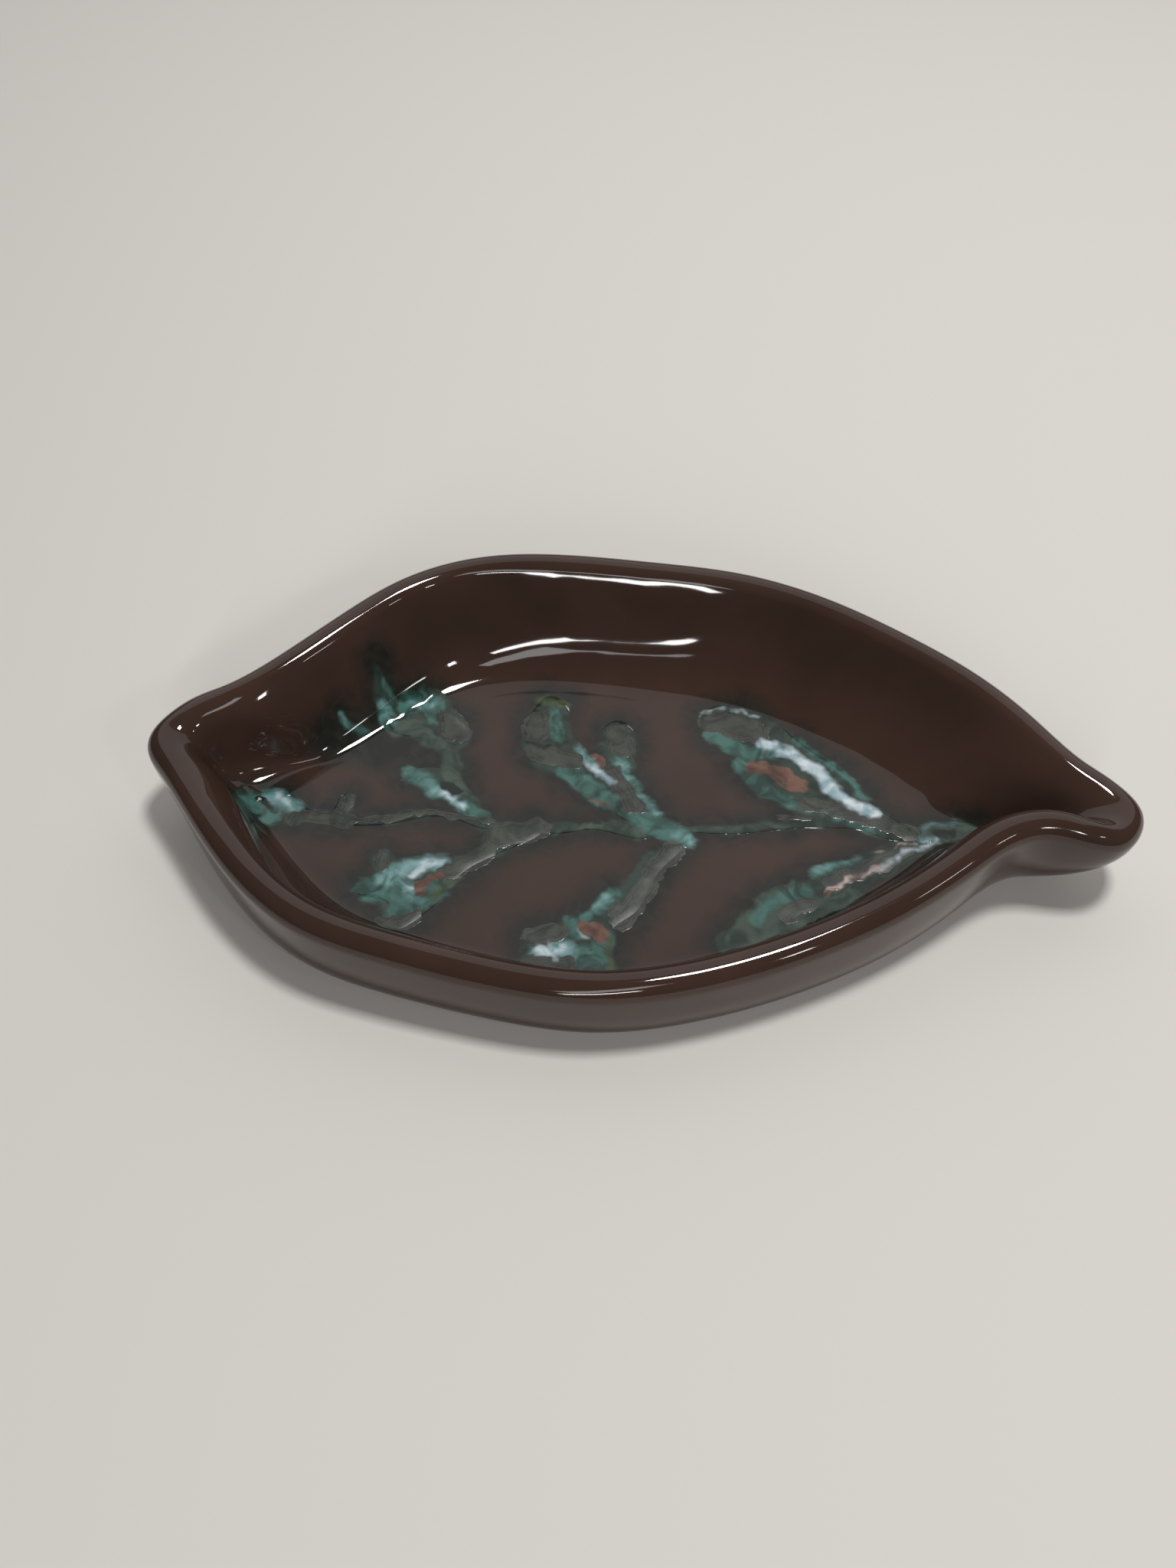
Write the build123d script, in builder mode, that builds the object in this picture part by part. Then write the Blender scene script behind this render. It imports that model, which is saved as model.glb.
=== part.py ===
from build123d import *
import os
from math import cos, hypot, radians, sin

os.makedirs("parts", exist_ok=True)

# A small leaf-shaped dish of fired clay, glazed brown, with trailed glaze veins on its floor.
# Lengths are in millimetres. The leaf's midrib lies along X, with the stem end towards +X.
# The origin is under the middle of the dish, on the plane that it stands on.

# Sizes of the wall and of the coats of glaze
rim_radius = 2.7
floor_height = 4.5
glaze_thickness = 0.5
vein_thickness = 0.5
foot_relief = 0.3
foot_share = 0.93
foot_overlap = 1.0
vein_reach = 12.0

# Middle line of the rounded rim, anticlockwise from the spout at the stem end: x, y, height
rim_line = [
    (76.2, -2.3, 13.5), (74.1, 1.2, 13.7), (69.1, 5.3, 14.1), (61.8, 13.2, 14.9),
    (52.8, 21.6, 15.7), (42.0, 28.3, 16.6), (29.0, 34.7, 17.4), (15.6, 38.4, 18.1),
    (-0.2, 39.4, 18.6), (-16.2, 39.5, 18.9), (-31.2, 37.5, 18.7), (-42.4, 31.8, 18.3),
    (-50.6, 23.5, 17.9), (-58.6, 14.3, 17.2), (-68.0, 5.8, 16.2), (-74.4, 1.1, 15.4),
    (-76.3, -2.2, 15.0), (-73.7, -7.3, 14.9), (-67.0, -15.2, 14.7), (-58.4, -24.6, 14.2),
    (-47.6, -32.3, 13.5), (-33.4, -36.3, 12.8), (-18.2, -38.7, 12.2), (-3.2, -39.3, 12.0),
    (11.8, -35.9, 12.0), (26.8, -29.6, 12.6), (40.0, -21.9, 13.6), (50.0, -14.2, 15.0),
    (57.8, -8.5, 16.1), (63.8, -7.0, 16.1), (69.8, -7.3, 15.0), (74.4, -6.0, 13.8),
]
# Edge of the flat floor inside the bowl, one point for each point of the rim: x, y
floor_line = [
    (54.8, -0.5), (53.6, 0.6), (48.0, 3.2), (43.2, 6.2),
    (37.8, 9.4), (30.8, 13.9), (21.8, 17.9), (11.8, 21.3),
    (-0.2, 23.4), (-13.2, 24.2), (-25.2, 22.6), (-33.2, 19.0),
    (-39.2, 14.2), (-45.6, 8.6), (-51.6, 4.2), (-57.4, 0.8),
    (-60.4, -2.8), (-60.0, -7.2), (-56.4, -12.4), (-50.0, -18.3),
    (-41.8, -24.2), (-30.2, -27.8), (-17.2, -30.2), (-3.2, -30.8),
    (9.8, -27.8), (22.8, -22.0), (33.8, -15.3), (41.8, -9.2),
    (47.0, -4.4), (50.6, -2.2), (53.4, -1.0), (54.6, -0.8),
]
# Edge of the flat underside, one point for each point of the rim: x, y
foot_line = [
    (55.8, -1.6), (54.8, 0.8), (50.8, 4.4), (44.8, 8.4),
    (37.8, 13.4), (29.8, 18.4), (20.8, 22.9), (10.8, 26.4),
    (-0.2, 28.2), (-13.2, 28.8), (-26.2, 26.8), (-36.2, 22.4),
    (-43.2, 15.9), (-49.7, 8.9), (-56.2, 3.2), (-60.2, -0.4),
    (-60.7, -2.7), (-59.4, -6.0), (-57.2, -12.0), (-52.9, -20.8),
    (-45.2, -29.0), (-32.4, -33.8), (-17.8, -36.3), (-3.5, -36.9),
    (10.9, -33.7), (25.8, -27.7), (38.6, -20.0), (47.5, -13.5),
    (52.6, -8.9), (56.0, -6.0), (56.7, -4.4), (56.4, -3.1),
]
# Angle of the rim's round at which it runs on into the bowl: 90 is level, 180 is plumb
lip_turn = [
    97, 104, 118, 136, 148, 150, 150, 150, 150, 150, 150, 150, 150, 142, 122, 100,
    94, 102, 126, 142, 150, 155, 158, 160, 160, 160, 158, 152, 146, 136, 122, 104,
]
# How far the inner wall leans along the rim as it leaves it, towards the spout's side if positive
lip_lean = [
    0.1, 0.7, 0.55, 0.3, 0.1, 0, 0, 0, 0, 0, 0, 0, 0, -0.2, -0.6, -0.9,
    0.1, 0.5, 0.3, 0.15, 0.05, 0, 0, 0, 0, 0, -0.1, -0.3, -0.6, -0.8, -0.8, -0.6,
]
# How far the inner wall runs on straight from the rim, as a share of its drop
lip_run = [
    0.85, 0.7, 0.55, 0.55, 0.55, 0.55, 0.55, 0.55, 0.55, 0.55, 0.55, 0.55, 0.55, 0.57, 0.6, 0.64,
    0.66, 0.64, 0.6, 0.56, 0.55, 0.53, 0.52, 0.5, 0.5, 0.5, 0.5, 0.5, 0.45, 0.4, 0.45, 0.65,
]
# How wide the hollow at the foot of the inner wall is, as a share of the wall's run
hollow = [
    0.55, 0.55, 0.55, 0.55, 0.55, 0.55, 0.55, 0.55, 0.55, 0.55, 0.55, 0.55, 0.55, 0.55, 0.6, 0.7,
    0.78, 0.7, 0.6, 0.55, 0.55, 0.55, 0.55, 0.55, 0.55, 0.55, 0.55, 0.55, 0.55, 0.55, 0.55, 0.55,
]
# How far the outer wall bellies out above the edge of the underside, as a share of its overhang
belly = [
    0.35, 0.4, 0.45, 0.5, 0.55, 0.55, 0.55, 0.55, 0.55, 0.55, 0.55, 0.55, 0.55, 0.55, 0.55, 0.6,
    0.7, 0.8, 1.0, 1.15, 1.15, 1.15, 1.15, 1.15, 1.15, 1.15, 1.1, 0.9, 0.6, 0.4, 0.3, 0.3,
]
# How far the outer wall drops plumb from the rim, as a share of its height
plumb_share = 0.65

# Number of sections that are taken of each wall and of the round of the rim
wall_steps = 10
rim_steps = 10

# Outlines of the trailed glaze on the floor, in the order that it was laid: x, y
vein_outlines = {
    "midrib_left": [
        (-16.5, -7.0), (-13.5, -5.2), (-6.0, -4.6), (3.0, -4.6), (3.0, -5.8), (-6.0, -6.0),
        (-12.5, -7.4),
    ],
    "midrib_right": [
        (8.5, -4.8), (15.0, -3.2), (23.0, -1.4), (30.0, -1.4), (23.0, -3.2), (14.5, -4.8),
    ],
    "near_vein_left": [
        (-15.0, -7.0), (-19.5, -11.0), (-24.0, -14.0), (-27.0, -17.0), (-29.0, -21.5),
        (-32.5, -26.0), (-36.0, -28.0), (-38.5, -27.0), (-37.0, -24.0), (-39.5, -22.5),
        (-42.5, -22.0), (-40.5, -17.5), (-41.0, -14.0), (-39.0, -13.0), (-37.5, -16.0),
        (-34.0, -15.0), (-29.0, -13.5), (-24.5, -10.5), (-24.0, -7.0), (-20.0, -6.0),
    ],
    "far_vein_middle": [
        (10.0, -6.5), (6.0, -3.0), (2.0, 1.0), (-0.5, 5.0), (-1.0, 10.5), (-1.5, 15.5),
        (-4.5, 18.0), (-7.5, 15.0), (-7.0, 11.0), (-6.0, 7.5), (-9.0, 10.5), (-12.5, 14.5),
        (-14.0, 21.0), (-17.0, 22.5), (-20.0, 17.5), (-20.5, 11.5), (-18.5, 7.0),
        (-13.0, 4.5), (-6.0, -0.5), (0.0, -4.5), (5.0, -7.0), (8.5, -8.0),
    ],
    "far_vein_right": [
        (46.5, -2.5), (42.5, 1.0), (39.0, 4.0), (35.0, 9.5), (29.0, 14.5), (24.0, 19.0),
        (17.5, 22.5), (11.5, 22.5), (9.5, 19.5), (12.0, 15.0), (16.0, 11.0), (18.0, 7.0),
        (21.5, 3.5), (26.5, 1.5), (24.5, -1.0), (31.0, -2.0), (37.5, -2.0), (43.5, -3.5),
    ],
    "near_vein_right": [
        (49.0, -3.5), (45.0, -3.0), (40.0, -4.5), (36.5, -7.0), (30.5, -10.0), (27.0, -13.5),
        (22.0, -15.0), (18.0, -20.5), (15.0, -26.0), (19.0, -26.0), (25.0, -23.0),
        (31.0, -20.0), (37.0, -14.0), (42.0, -9.5), (46.5, -6.0),
    ],
    "far_vein_left": [
        (-24.5, -5.0), (-26.5, -1.5), (-29.5, 2.0), (-31.0, 7.0), (-30.0, 13.0), (-33.5, 17.0),
        (-36.0, 21.0), (-39.5, 20.5), (-43.0, 17.5), (-46.0, 19.5), (-46.0, 13.5),
        (-42.0, 11.0), (-35.5, 9.0), (-33.5, 5.0), (-38.0, 4.0), (-39.5, 2.5),
        (-35.0, -0.5), (-30.5, -3.5),
    ],
    "near_vein_middle": [
        (8.5, -7.0), (6.5, -10.5), (3.5, -15.5), (1.5, -21.0), (-2.0, -25.0), (-1.5, -32.0),
        (-9.0, -33.0), (-14.5, -32.0), (-15.5, -28.5), (-12.0, -25.0), (-6.5, -22.0),
        (-2.0, -17.0), (1.0, -12.0), (5.0, -8.0),
    ],
    "tip_vein": [
        (-64.5, -8.5), (-65.8, -6.2), (-66.2, -3.8), (-64.6, -2.8), (-62.5, -3.6),
        (-60.4, -2.8), (-58.2, -3.0), (-53.8, -6.2), (-50.0, -6.2), (-48.6, -2.6),
        (-46.8, -3.0), (-47.0, -6.5), (-39.5, -6.0), (-35.0, -4.5), (-29.0, -5.0),
        (-23.5, -5.5), (-23.5, -7.0), (-29.0, -6.2), (-38.0, -7.5), (-47.0, -9.0),
        (-55.0, -8.8), (-58.0, -9.6), (-61.5, -10.2),
    ],
    "stem_vein": [
        (46.3, -1.5), (47.2, 0.5), (50.0, 1.1), (53.5, 0.8), (56.0, 0.4), (55.0, -1.2),
        (50.5, -2.6), (47.5, -3.0),
    ],
}

stations = range(len(rim_line))


def along(i):
    """Unit vector along the rim at one station, anticlockwise."""
    return (Vector(*rim_line[(i + 1) % len(rim_line)]) - Vector(*rim_line[i - 1])).normalized()


def inward(i):
    """Unit vector in plan, square to the rim and pointing into the bowl, at one station."""
    run = along(i)
    return Vector(-run.Y, run.X, 0).normalized()


def rim_point(i, inset, angle):
    """Point on the round of the rim: 0 degrees is its outer side, 90 its top, 180 its inner side."""
    x, y, z = rim_line[i]
    radius = rim_radius - inset
    across = inward(i) * -radius * cos(radians(angle))
    return Vector(x, y, z + radius * sin(radians(angle))) + across


def between(start, start_pull, end_pull, end, share):
    """Point at a share of the way along the curve that two ends and their two pulls make."""
    rest = 1 - share
    return (
        start * rest**3
        + start_pull * 3 * rest**2 * share
        + end_pull * 3 * rest * share**2
        + end * share**3
    )


def outer_point(i, inset, underside, share):
    """Point on the outer wall, from the rim down to the edge of the underside."""
    start = rim_point(i, inset, 0)
    end = Vector(*foot_line[i], underside)
    drop = Vector(0, 0, plumb_share * (start.Z - underside))
    overhang = Vector(start.X - end.X, start.Y - end.Y, 0)
    return between(start, start - drop, end + overhang * belly[i], end, share)


def inner_point(i, inset, floor, share):
    """Point on the inner wall, from the rim down to the edge of the floor."""
    start = rim_point(i, inset, lip_turn[i])
    end = Vector(*floor_line[i], floor)
    turn = radians(lip_turn[i])
    way = inward(i) * sin(turn) + Vector(0, 0, cos(turn)) + along(i) * lip_lean[i]
    lip = way.normalized() * lip_run[i] * (start.Z - floor)
    back = Vector(start.X - end.X, start.Y - end.Y, 0) * hollow[i]
    return between(start, start + lip, end + back, end, share)


# Each ring's points keep the spacing of the rim's own middle line, so the rings match
chords = [hypot(*(rim_line[i][k] - rim_line[i - 1][k] for k in range(3))) for i in stations]
ring_spacing = [sum(chords[1 : i + 1]) for i in stations] + [sum(chords)]


def ring(points):
    """Closed smooth line through one point at each station."""
    return Wire([Edge.make_spline(points, periodic=True, parameters=ring_spacing)])


def bowl(inset, underside):
    """Solid of the bowl, with its surface set in by inset and its flat underside at that height."""
    floor = floor_height - inset
    rings = []
    for step in range(wall_steps):
        share = 1 - step / wall_steps
        rings.append(ring([outer_point(i, inset, underside, share) for i in stations]))
    for step in range(rim_steps + 1):
        share = step / rim_steps
        rings.append(ring([rim_point(i, inset, lip_turn[i] * share) for i in stations]))
    for step in range(1, wall_steps + 1):
        share = step / wall_steps
        rings.append(ring([inner_point(i, inset, floor, share) for i in stations]))
    return Solid.make_loft(rings)


# The skins of the dish: bare clay, brown glaze over it, and the top of the trailed glaze
clay_form = bowl(glaze_thickness, foot_relief + glaze_thickness)
glazed_form = bowl(0, foot_relief)
vein_form = bowl(-vein_thickness, foot_relief)

# Clay body: the pressed leaf, with a bare foot that stands just clear of the glaze
with BuildPart() as clay_body:
    add(clay_form)
    with BuildSketch():
        with BuildLine():
            Spline(*foot_line, periodic=True)
        make_face()
        scale(by=foot_share)
    extrude(amount=foot_relief + glaze_thickness + foot_overlap)

# Brown glaze: one coat over the whole leaf, open round the bare foot
with BuildPart() as brown_glaze:
    add(glazed_form)
    add(clay_body.part, mode=Mode.SUBTRACT)

# The film, as thick as the trailed glaze, from which every vein is cut
with BuildPart() as vein_film:
    add(vein_form)
    add(glazed_form, mode=Mode.SUBTRACT)

# Veins: each is a low run of thick glaze on the brown coat, and flows up to those laid before it
pieces = {"clay_body": clay_body, "brown_glaze": brown_glaze}
veins = {}
for name, outline in vein_outlines.items():
    with BuildPart() as vein:
        with BuildSketch(Plane.XY.offset(floor_height - glaze_thickness)):
            with BuildLine():
                Spline(*outline, periodic=True)
            make_face()
        extrude(amount=vein_reach)
        add(vein_film.part, mode=Mode.INTERSECT)
        for earlier in veins.values():
            add(earlier.part, mode=Mode.SUBTRACT)
    veins[name] = vein
pieces.update(veins)

for name, piece in pieces.items():
    piece.part.label = name
    export_step(piece.part, f"parts/{name}.step")
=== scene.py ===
from math import pi, tau

import bmesh
import bpy
import numpy as np
from mathutils import Matrix, Vector, noise
from mathutils.bvhtree import BVHTree


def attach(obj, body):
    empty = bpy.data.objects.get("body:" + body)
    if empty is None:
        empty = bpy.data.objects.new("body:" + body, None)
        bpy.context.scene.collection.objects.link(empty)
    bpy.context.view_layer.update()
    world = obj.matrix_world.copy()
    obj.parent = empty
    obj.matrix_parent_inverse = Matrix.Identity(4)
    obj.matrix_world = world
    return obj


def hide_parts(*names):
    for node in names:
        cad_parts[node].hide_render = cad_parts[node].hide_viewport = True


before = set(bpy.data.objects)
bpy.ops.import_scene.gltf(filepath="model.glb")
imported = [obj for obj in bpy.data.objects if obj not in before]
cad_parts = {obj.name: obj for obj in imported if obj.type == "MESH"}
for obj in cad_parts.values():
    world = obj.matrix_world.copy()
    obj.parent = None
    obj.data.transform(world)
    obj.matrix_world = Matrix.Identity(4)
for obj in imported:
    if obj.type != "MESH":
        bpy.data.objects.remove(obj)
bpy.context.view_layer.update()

# ---- Clay body
# The leaf was pressed from a slab of red-brown stoneware clay. Only its flat foot is bare, and
# shows the clay's fine grit. It keeps the solid of the part, in a matt fired clay.

MM = 0.001


def linear(hex_colour):
    """Linear RGBA of an sRGB hex colour."""
    parts = [int(hex_colour[i : i + 2], 16) / 255 for i in (1, 3, 5)]
    return (*(c / 12.92 if c <= 0.04045 else ((c + 0.055) / 1.055) ** 2.4 for c in parts), 1.0)


def new_material(name):
    """A material of that name with its node tree and its main shader."""
    material = bpy.data.materials.new(name)
    material.use_nodes = True
    return material, material.node_tree, material.node_tree.nodes["Principled BSDF"]


def node(tree, kind, inputs=None, **settings):
    """Adds a node with its settings, and sets or links its inputs."""
    made = tree.nodes.new(kind)
    for key, value in settings.items():
        setattr(made, key, value)
    for key, value in (inputs or {}).items():
        if isinstance(value, bpy.types.NodeSocket):
            tree.links.new(value, made.inputs[key])
        else:
            made.inputs[key].default_value = value
    return made


def set_stops(ramp, stops):
    """Sets a colour ramp's stops from pairs of place and hex colour."""
    elements = ramp.color_ramp.elements
    while len(elements) > len(stops):
        elements.remove(elements[-1])
    while len(elements) < len(stops):
        elements.new(1.0)
    for element, (place, colour) in zip(elements, stops):
        element.position = place
        element.color = linear(colour)


# Fired stoneware clay: matt and warm brown, with grit of about 0.4 mm and faint patches
grit_spacing = 0.8
grit_height = 0.08
grit_strength = 0.6
patch_width = 14
clay, tree, shader = new_material("bare_stoneware_clay")
shader.inputs["Roughness"].default_value = 0.85
shader.inputs["Specular IOR Level"].default_value = 0.3
where = node(tree, "ShaderNodeTexCoord").outputs["Object"]
grit = node(tree, "ShaderNodeTexNoise",
            {"Vector": where, "Scale": 1 / (grit_spacing * MM), "Detail": 3.0}).outputs["Fac"]
patches = node(tree, "ShaderNodeTexNoise",
               {"Vector": where, "Scale": 1 / (patch_width * MM), "Detail": 2.0}).outputs["Fac"]
gritty = node(tree, "ShaderNodeMath", {0: grit, 1: grit_strength, 2: patches},
              operation="MULTIPLY_ADD")
clay_tone = node(tree, "ShaderNodeValToRGB", {"Fac": gritty.outputs[0]})
set_stops(clay_tone, [(0.45, "#6B4A39"), (0.75, "#8A6450"), (1.0, "#A37F68")])
tree.links.new(clay_tone.outputs["Color"], shader.inputs["Base Color"])
grit_bump = node(tree, "ShaderNodeBump",
                 {"Height": grit, "Strength": 0.5, "Distance": grit_height * MM})
tree.links.new(grit_bump.outputs["Normal"], shader.inputs["Normal"])

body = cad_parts["clay_body"]
body.data.materials.clear()
body.data.materials.append(clay)

# ---- Brown glaze
# A dark chocolate-brown glaze that coats the whole leaf, over the rolled rim and down to the bare
# foot. The leaf was dipped, so the coat is smooth and very glossy, with slight waves of the hand.

rim_radius = 2.7
floor_height = 4.5
foot_relief = 0.3

# Middle line of the rounded rim, from the spout round by the far side: x, y, height, in mm
rim_line = np.array([
    (76.2, -2.3, 13.5), (74.1, 1.2, 13.7), (69.1, 5.3, 14.1), (61.8, 13.2, 14.9),
    (52.8, 21.6, 15.7), (42.0, 28.3, 16.6), (29.0, 34.7, 17.4), (15.6, 38.4, 18.1),
    (-0.2, 39.4, 18.6), (-16.2, 39.5, 18.9), (-31.2, 37.5, 18.7), (-42.4, 31.8, 18.3),
    (-50.6, 23.5, 17.9), (-58.6, 14.3, 17.2), (-68.0, 5.8, 16.2), (-74.4, 1.1, 15.4),
    (-76.3, -2.2, 15.0), (-73.7, -7.3, 14.9), (-67.0, -15.2, 14.7), (-58.4, -24.6, 14.2),
    (-47.6, -32.3, 13.5), (-33.4, -36.3, 12.8), (-18.2, -38.7, 12.2), (-3.2, -39.3, 12.0),
    (11.8, -35.9, 12.0), (26.8, -29.6, 12.6), (40.0, -21.9, 13.6), (50.0, -14.2, 15.0),
    (57.8, -8.5, 16.1), (63.8, -7.0, 16.1), (69.8, -7.3, 15.0), (74.4, -6.0, 13.8),
])
# Edge of the flat floor, and edge of the flat underside, one point for each of the rim's
floor_line = np.array([
    (54.8, -0.5), (53.6, 0.6), (48.0, 3.2), (43.2, 6.2),
    (37.8, 9.4), (30.8, 13.9), (21.8, 17.9), (11.8, 21.3),
    (-0.2, 23.4), (-13.2, 24.2), (-25.2, 22.6), (-33.2, 19.0),
    (-39.2, 14.2), (-45.6, 8.6), (-51.6, 4.2), (-57.4, 0.8),
    (-60.4, -2.8), (-60.0, -7.2), (-56.4, -12.4), (-50.0, -18.3),
    (-41.8, -24.2), (-30.2, -27.8), (-17.2, -30.2), (-3.2, -30.8),
    (9.8, -27.8), (22.8, -22.0), (33.8, -15.3), (41.8, -9.2),
    (47.0, -4.4), (50.6, -2.2), (53.4, -1.0), (54.6, -0.8),
])
foot_line = np.array([
    (55.8, -1.6), (54.8, 0.8), (50.8, 4.4), (44.8, 8.4),
    (37.8, 13.4), (29.8, 18.4), (20.8, 22.9), (10.8, 26.4),
    (-0.2, 28.2), (-13.2, 28.8), (-26.2, 26.8), (-36.2, 22.4),
    (-43.2, 15.9), (-49.7, 8.9), (-56.2, 3.2), (-60.2, -0.4),
    (-60.7, -2.7), (-59.4, -6.0), (-57.2, -12.0), (-52.9, -20.8),
    (-45.2, -29.0), (-32.4, -33.8), (-17.8, -36.3), (-3.5, -36.9),
    (10.9, -33.7), (25.8, -27.7), (38.6, -20.0), (47.5, -13.5),
    (52.6, -8.9), (56.0, -6.0), (56.7, -4.4), (56.4, -3.1),
])
# Angle at which the rim's round runs on into the bowl: 180 is plumb, 90 level, one per station
lip_turn = np.array([
    97, 104, 118, 136, 148, 150, 150, 150, 150, 150, 150, 150, 150, 142, 122, 100,
    94, 102, 126, 142, 150, 155, 158, 160, 160, 160, 158, 152, 146, 136, 122, 104,
])
# How far the inner wall leans along the rim as it leaves it, and how far it runs on straight
lip_lean = np.array([
    0.1, 0.7, 0.55, 0.3, 0.1, 0, 0, 0, 0, 0, 0, 0, 0, -0.2, -0.6, -0.9,
    0.1, 0.5, 0.3, 0.15, 0.05, 0, 0, 0, 0, 0, -0.1, -0.3, -0.6, -0.8, -0.8, -0.6,
])
lip_run = np.array([
    0.85, 0.7, 0.55, 0.55, 0.55, 0.55, 0.55, 0.55, 0.55, 0.55, 0.55, 0.55, 0.55, 0.57, 0.6, 0.64,
    0.66, 0.64, 0.6, 0.56, 0.55, 0.53, 0.52, 0.5, 0.5, 0.5, 0.5, 0.5, 0.45, 0.4, 0.45, 0.65,
])
# How wide the hollow at the foot of the inner wall is, as a share of the wall's run
hollow = np.array([
    0.55, 0.55, 0.55, 0.55, 0.55, 0.55, 0.55, 0.55, 0.55, 0.55, 0.55, 0.55, 0.55, 0.55, 0.6, 0.7,
    0.78, 0.7, 0.6, 0.55, 0.55, 0.55, 0.55, 0.55, 0.55, 0.55, 0.55, 0.55, 0.55, 0.55, 0.55, 0.55,
])
# How far the outer wall bellies out above the foot, one per station
belly = np.array([
    0.35, 0.4, 0.45, 0.5, 0.55, 0.55, 0.55, 0.55, 0.55, 0.55, 0.55, 0.55, 0.55, 0.55, 0.55, 0.6,
    0.7, 0.8, 1.0, 1.15, 1.15, 1.15, 1.15, 1.15, 1.15, 1.15, 1.1, 0.9, 0.6, 0.4, 0.3, 0.3,
])


def closed_spline(points, samples, knots=None):
    """Smooth closed line through the points, as that many samples along its length."""
    count = len(points)
    if knots is None:
        chords = np.linalg.norm(np.roll(points, -1, axis=0) - points, axis=1)
        knots = np.concatenate([[0], np.cumsum(chords)])
    gap = np.diff(knots)
    here = np.arange(count)
    before, after = here - 1, (here + 1) % count
    bend = np.zeros((count, count))
    bend[here, before] += gap[before]
    bend[here, here] += 2 * (gap[before] + gap)
    bend[here, after] += gap
    rise_after = (points[after] - points) / gap[:, None]
    rise_before = (points - points[before]) / gap[before, None]
    curve = np.linalg.solve(bend, 6 * (rise_after - rise_before))
    along = np.linspace(0, knots[-1], samples, endpoint=False)
    i = np.searchsorted(knots, along, side="right") - 1
    b = ((along - knots[i]) / gap[i])[:, None]
    a = 1 - b
    bow = (gap[i] ** 2 / 6)[:, None]
    j = after[i]
    return a * points[i] + b * points[j] + bow * ((a**3 - a) * curve[i] + (b**3 - b) * curve[j])


# Points round the leaf, and steps across each part of its section
around = 480
outer_wall_steps = 20
rim_steps = 20
outer_rim_steps = 10
inner_wall_steps = 22
floor_steps = 48

rim_knots = np.concatenate(
    [[0], np.cumsum(np.linalg.norm(np.roll(rim_line, -1, axis=0) - rim_line, axis=1))])
run = np.roll(rim_line, -1, axis=0)[:, :2] - np.roll(rim_line, 1, axis=0)[:, :2]
inward = np.stack([-run[:, 1], run[:, 0]], axis=1) / np.linalg.norm(run, axis=1)[:, None]


def ring(plan, height):
    """Closed line of samples round the leaf, from one plan point and height for each station."""
    height = np.broadcast_to(height, (len(plan),))
    return closed_spline(np.column_stack([plan, height]), around, rim_knots)


def curve_ring(points, share):
    """Section at a share of the cubic curve that has these four points at each station."""
    weights = ((1 - share) ** 3, 3 * share * (1 - share) ** 2, 3 * share**2 * (1 - share), share**3)
    placed = sum(weight * point for weight, point in zip(weights, points))
    return closed_spline(placed, around, rim_knots)


def rim_points(turn):
    """Points on the rounded rim: 0 degrees is its outer side, 90 its top."""
    turned = np.radians(turn)
    plan = rim_line[:, :2] - inward * (rim_radius * np.cos(turned))[:, None]
    return np.column_stack([plan, rim_line[:, 2] + rim_radius * np.sin(turned)])


def level(plan, height):
    """Plan points at one height."""
    return np.column_stack([plan, np.full(len(plan), height)])


stations = len(rim_line)
# How far the outer wall's curve sets off plumb below the rim, as a share of its height
outer_reach = 0.65
outer_side = rim_points(np.zeros(stations))
inner_side = rim_points(lip_turn)
foot_edge = level(foot_line, foot_relief)
floor_edge = level(floor_line, floor_height)
slope = np.radians(lip_turn)
along = np.roll(rim_line, -1, axis=0) - np.roll(rim_line, 1, axis=0)
along /= np.linalg.norm(along, axis=1)[:, None]
way = np.column_stack([inward * np.sin(slope)[:, None], np.cos(slope)]) + along * lip_lean[:, None]
way *= (lip_run * (inner_side[:, 2] - floor_height) / np.linalg.norm(way, axis=1))[:, None]
outer_drop = outer_reach * (rim_line[:, 2] - foot_relief)
outer_run = level(outer_side[:, :2] - foot_line, 0.0)
inner_run = level(inner_side[:, :2] - floor_line, 0.0)
outer_curve = (
    outer_side, outer_side - np.array([0, 0, 1]) * outer_drop[:, None],
    foot_edge + outer_run * belly[:, None], foot_edge,
)
inner_curve = (
    inner_side, inner_side + way, floor_edge + inner_run * hollow[:, None], floor_edge,
)

floor_middle = np.array([-6.0, -3.5])
underside_shares = (0.9, 0.95, 0.985)
floor_shares = [1 - i / floor_steps for i in range(1, floor_steps)]


def rim_ring(step):
    """Ring on the rounded rim, at a step from its outer side towards the bowl."""
    return closed_spline(rim_points(lip_turn * step / rim_steps), around, rim_knots)


outer_rings = [ring(foot_line * share, foot_relief) for share in underside_shares]
outer_rings += [
    curve_ring(outer_curve, 1 - i / outer_wall_steps) for i in range(outer_wall_steps)
]
outer_rings += [rim_ring(i) for i in range(outer_rim_steps)]
inner_rings = [rim_ring(i) for i in range(outer_rim_steps, rim_steps + 1)]
inner_rings += [
    curve_ring(inner_curve, i / inner_wall_steps) for i in range(1, inner_wall_steps + 1)
]
inner_rings += [
    ring(floor_middle + (floor_line - floor_middle) * share, floor_height) for share in floor_shares
]
rings = outer_rings + inner_rings

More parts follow.
